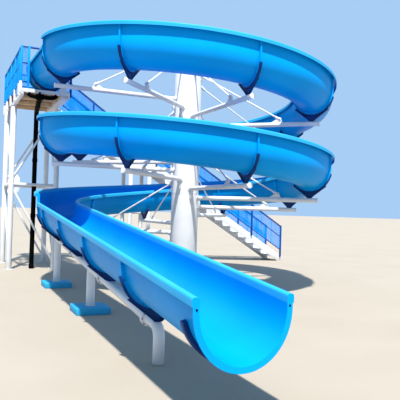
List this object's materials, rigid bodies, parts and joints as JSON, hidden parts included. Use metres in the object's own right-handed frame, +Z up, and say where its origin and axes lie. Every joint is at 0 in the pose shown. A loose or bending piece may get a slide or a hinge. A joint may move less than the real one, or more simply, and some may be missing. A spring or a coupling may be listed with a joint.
{
  "type": "water slide tower",
  "caption": "Open fibreglass flume that coils round a steel column and runs out straight, with its start platform, tower, stair and railings.",
  "frame": {"origin": "centre of the column, at ground level under its base plate", "axes": "+Z up along the column; the straight run-out goes along -Y, and the start platform and the stair lie at +Y; +X points away from the run-out across the coil"},
  "size_m": [8.5397, 12.6452, 5.22],
  "materials": {
    "flume_gelcoat": "glossy blue gelcoat on glass-fibre laminate",
    "painted_steel": "satin white paint on steel",
    "footing_paint": "turquoise painted concrete",
    "deck_wood": "weathered boards",
    "railing_paint": "satin blue paint on steel",
    "pipe_plastic": "black pressure pipe"
  },
  "bodies": {
    "root": {"coil_section_01": "flume_gelcoat", "coil_section_02": "flume_gelcoat", "coil_section_03": "flume_gelcoat", "coil_section_04": "flume_gelcoat", "coil_section_05": "flume_gelcoat", "coil_section_06": "flume_gelcoat", "coil_section_07": "flume_gelcoat", "coil_section_08": "flume_gelcoat", "coil_section_09": "flume_gelcoat", "coil_section_10": "flume_gelcoat", "coil_section_11": "flume_gelcoat", "coil_section_12": "flume_gelcoat", "coil_section_13": "flume_gelcoat", "coil_section_14": "flume_gelcoat", "coil_section_15": "flume_gelcoat", "coil_section_16": "flume_gelcoat", "entry_section": "flume_gelcoat", "start_section": "flume_gelcoat", "run_section_1": "flume_gelcoat", "run_section_2": "flume_gelcoat", "run_section_3": "flume_gelcoat", "run_section_4": "flume_gelcoat", "run_section_5": "flume_gelcoat", "support_arm_01": "painted_steel", "support_arm_02": "painted_steel", "support_arm_03": "painted_steel", "support_arm_04": "painted_steel", "support_arm_05": "painted_steel", "support_arm_06": "painted_steel", "support_arm_07": "painted_steel", "support_arm_08": "painted_steel", "support_arm_09": "painted_steel", "support_arm_10": "painted_steel", "support_arm_11": "painted_steel", "support_arm_12": "painted_steel", "support_arm_13": "painted_steel", "support_arm_14": "painted_steel", "support_arm_15": "painted_steel", "support_arm_16": "painted_steel", "column": "painted_steel", "run_support_frame": "painted_steel", "footing_1": "footing_paint", "footing_2": "footing_paint", "tower_frame_left": "painted_steel", "tower_frame_right": "painted_steel", "tower_bracing_front": "painted_steel", "tower_bracing_back": "painted_steel", "platform_frame": "painted_steel", "start_deck": "deck_wood", "upper_landing": "deck_wood", "upper_flight": "painted_steel", "lower_flight": "painted_steel", "mid_landing": "painted_steel", "left_railing": "railing_paint", "right_railing": "railing_paint", "back_railing": "railing_paint", "stair_railing_near": "railing_paint", "stair_railing_far": "railing_paint", "water_riser": "pipe_plastic"}
  },
  "joints": []
}
